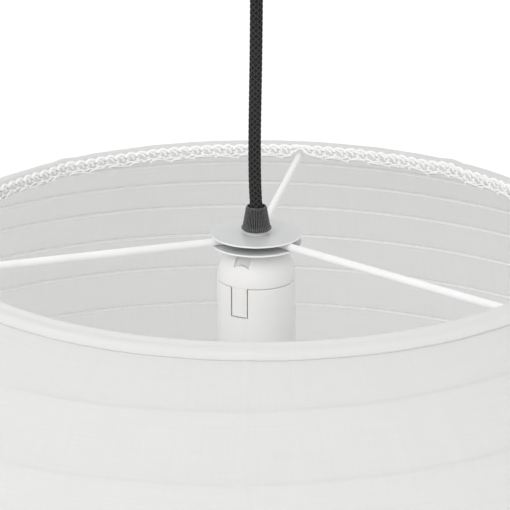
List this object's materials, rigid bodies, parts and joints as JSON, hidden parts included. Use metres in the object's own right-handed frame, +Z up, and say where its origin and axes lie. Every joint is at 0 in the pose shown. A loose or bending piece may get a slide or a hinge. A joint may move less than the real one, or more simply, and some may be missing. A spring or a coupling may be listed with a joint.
{
  "type": "accordion lantern",
  "caption": "Round white cloth accordion lantern on a black textile cable, folding flat along its spiral wire, with a screw-cap lampholder.",
  "frame": {"origin": "centre of the ceiling bracket's top face, where the lantern is fastened", "axes": "+Z up, +X to the right and +Y away from the viewer, who sees the lampholder's latch at the front left"},
  "size_m": [0.5992, 0.5992, 0.58],
  "materials": {
    "white_cloth": "fine white woven cloth, slightly see-through",
    "shade_wire": "white coated spring wire",
    "white_paint": "glossy white paint",
    "black_textile": "black braided textile",
    "black_plastic": "satin black moulding",
    "lampholder_plastic": "satin off-white moulding",
    "socket_insert": "matt off-white insert",
    "contact_brass": "bright brass",
    "zinc_steel": "zinc plated steel",
    "white_nylon": "white nylon"
  },
  "bodies": {
    "root": {"ceiling_bracket": "zinc_steel", "ceiling_cup": "black_plastic", "cup_screw_left": "zinc_steel", "cup_screw_right": "zinc_steel", "terminal_block": "white_nylon", "cup_cord_grip": "black_plastic", "cable_upper_tail": "black_textile"},
    "cable": {"cable": "black_textile"},
    "lamp": {"cable_lower_tail": "black_textile", "cord_grip": "black_plastic", "threaded_nipple": "zinc_steel", "nipple_nut": "zinc_steel", "holder_cap": "lampholder_plastic", "holder_body": "lampholder_plastic", "holder_insert": "socket_insert", "screw_shell": "contact_brass", "centre_contact": "contact_brass", "side_contact": "contact_brass"},
    "latch": {"cap_latch": "lampholder_plastic"},
    "shade": {"upper_plate": "white_paint", "lower_plate": "white_paint", "spoke_back": "white_paint", "spoke_left": "white_paint", "spoke_right": "white_paint", "top_ring": "white_paint", "top_hem": "white_cloth", "wire_turn_01": "shade_wire", "fabric_band_01": "white_cloth"},
    "turn_02": {"wire_turn_02": "shade_wire", "fabric_band_02": "white_cloth"},
    "turn_03": {"wire_turn_03": "shade_wire", "fabric_band_03": "white_cloth"},
    "turn_04": {"wire_turn_04": "shade_wire", "fabric_band_04": "white_cloth"},
    "turn_05": {"wire_turn_05": "shade_wire", "fabric_band_05": "white_cloth"},
    "turn_06": {"wire_turn_06": "shade_wire", "fabric_band_06": "white_cloth"},
    "turn_07": {"wire_turn_07": "shade_wire", "fabric_band_07": "white_cloth"},
    "turn_08": {"wire_turn_08": "shade_wire", "fabric_band_08": "white_cloth"},
    "turn_09": {"wire_turn_09": "shade_wire", "fabric_band_09": "white_cloth"},
    "turn_10": {"wire_turn_10": "shade_wire", "fabric_band_10": "white_cloth"},
    "turn_11": {"wire_turn_11": "shade_wire", "fabric_band_11": "white_cloth"},
    "turn_12": {"wire_turn_12": "shade_wire", "fabric_band_12": "white_cloth"},
    "turn_13": {"wire_turn_13": "shade_wire", "fabric_band_13": "white_cloth"},
    "turn_14": {"wire_turn_14": "shade_wire", "fabric_band_14": "white_cloth"},
    "turn_15": {"wire_turn_15": "shade_wire", "fabric_band_15": "white_cloth"},
    "turn_16": {"wire_turn_16": "shade_wire", "fabric_band_16": "white_cloth"},
    "foot": {"bottom_ring": "white_paint", "bottom_hem": "white_cloth"}
  },
  "joints": [
    {"name": "cable_swing", "type": "hinge", "parent": "root", "child": "cable", "pos_m": [0, 0, -0.0562], "axis": [0, 1, 0], "range_deg": [-10, 10]},
    {"name": "lamp_tilt", "type": "hinge", "parent": "cable", "child": "lamp", "pos_m": [0, 0, -0.1728], "axis": [1, 0, 0], "range_deg": [-8, 8]},
    {"name": "latch_press", "type": "hinge", "parent": "lamp", "child": "latch", "pos_m": [-0.00826, -0.01694, -0.2088], "axis": [-0.8988, 0.4384, 0], "range_deg": [0, 6], "stiffness_Nm_per_rad": 0.002},
    {"name": "shade_turn", "type": "hinge", "parent": "lamp", "child": "shade", "pos_m": [0, 0, -0.185], "axis": [0, 0, 1], "continuous": true},
    {"name": "fold_01", "type": "slide", "parent": "shade", "child": "turn_02", "axis": [0, 0, 1], "range_m": [0, 0.01327], "deforming": ["fabric_band_01"]},
    {"name": "fold_02", "type": "slide", "parent": "turn_02", "child": "turn_03", "axis": [0, 0, 1], "range_m": [0, 0.01619], "deforming": ["fabric_band_02"]},
    {"name": "fold_03", "type": "slide", "parent": "turn_03", "child": "turn_04", "axis": [0, 0, 1], "range_m": [0, 0.0191], "deforming": ["fabric_band_03"]},
    {"name": "fold_04", "type": "slide", "parent": "turn_04", "child": "turn_05", "axis": [0, 0, 1], "range_m": [0, 0.02193], "deforming": ["fabric_band_04"]},
    {"name": "fold_05", "type": "slide", "parent": "turn_05", "child": "turn_06", "axis": [0, 0, 1], "range_m": [0, 0.02457], "deforming": ["fabric_band_05"]},
    {"name": "fold_06", "type": "slide", "parent": "turn_06", "child": "turn_07", "axis": [0, 0, 1], "range_m": [0, 0.02686], "deforming": ["fabric_band_06"]},
    {"name": "fold_07", "type": "slide", "parent": "turn_07", "child": "turn_08", "axis": [0, 0, 1], "range_m": [0, 0.02856], "deforming": ["fabric_band_07"]},
    {"name": "fold_08", "type": "slide", "parent": "turn_08", "child": "turn_09", "axis": [0, 0, 1], "range_m": [0, 0.02949], "deforming": ["fabric_band_08"]},
    {"name": "fold_09", "type": "slide", "parent": "turn_09", "child": "turn_10", "axis": [0, 0, 1], "range_m": [0, 0.02856], "deforming": ["fabric_band_09"]},
    {"name": "fold_10", "type": "slide", "parent": "turn_10", "child": "turn_11", "axis": [0, 0, 1], "range_m": [0, 0.02686], "deforming": ["fabric_band_10"]},
    {"name": "fold_11", "type": "slide", "parent": "turn_11", "child": "turn_12", "axis": [0, 0, 1], "range_m": [0, 0.02457], "deforming": ["fabric_band_11"]},
    {"name": "fold_12", "type": "slide", "parent": "turn_12", "child": "turn_13", "axis": [0, 0, 1], "range_m": [0, 0.02193], "deforming": ["fabric_band_12"]},
    {"name": "fold_13", "type": "slide", "parent": "turn_13", "child": "turn_14", "axis": [0, 0, 1], "range_m": [0, 0.0191], "deforming": ["fabric_band_13"]},
    {"name": "fold_14", "type": "slide", "parent": "turn_14", "child": "turn_15", "axis": [0, 0, 1], "range_m": [0, 0.01619], "deforming": ["fabric_band_14"]},
    {"name": "fold_15", "type": "slide", "parent": "turn_15", "child": "turn_16", "axis": [0, 0, 1], "range_m": [0, 0.01328], "deforming": ["fabric_band_15"]},
    {"name": "fold_16", "type": "slide", "parent": "turn_16", "child": "foot", "axis": [0, 0, 1], "range_m": [0, 0.01138], "deforming": ["fabric_band_16", "bottom_hem"]}
  ],
  "couplings": [
    {"joint": "fold_02", "follows": "fold_01", "ratio": 1.2199},
    {"joint": "fold_03", "follows": "fold_01", "ratio": 1.4389},
    {"joint": "fold_04", "follows": "fold_01", "ratio": 1.6524},
    {"joint": "fold_05", "follows": "fold_01", "ratio": 1.8515},
    {"joint": "fold_06", "follows": "fold_01", "ratio": 2.0236},
    {"joint": "fold_07", "follows": "fold_01", "ratio": 2.1524},
    {"joint": "fold_08", "follows": "fold_01", "ratio": 2.2223},
    {"joint": "fold_09", "follows": "fold_01", "ratio": 2.1524},
    {"joint": "fold_10", "follows": "fold_01", "ratio": 2.0236},
    {"joint": "fold_11", "follows": "fold_01", "ratio": 1.8515},
    {"joint": "fold_12", "follows": "fold_01", "ratio": 1.6524},
    {"joint": "fold_13", "follows": "fold_01", "ratio": 1.4389},
    {"joint": "fold_14", "follows": "fold_01", "ratio": 1.2199},
    {"joint": "fold_15", "follows": "fold_01", "ratio": 1.0007},
    {"joint": "fold_16", "follows": "fold_01", "ratio": 0.8573}
  ]
}
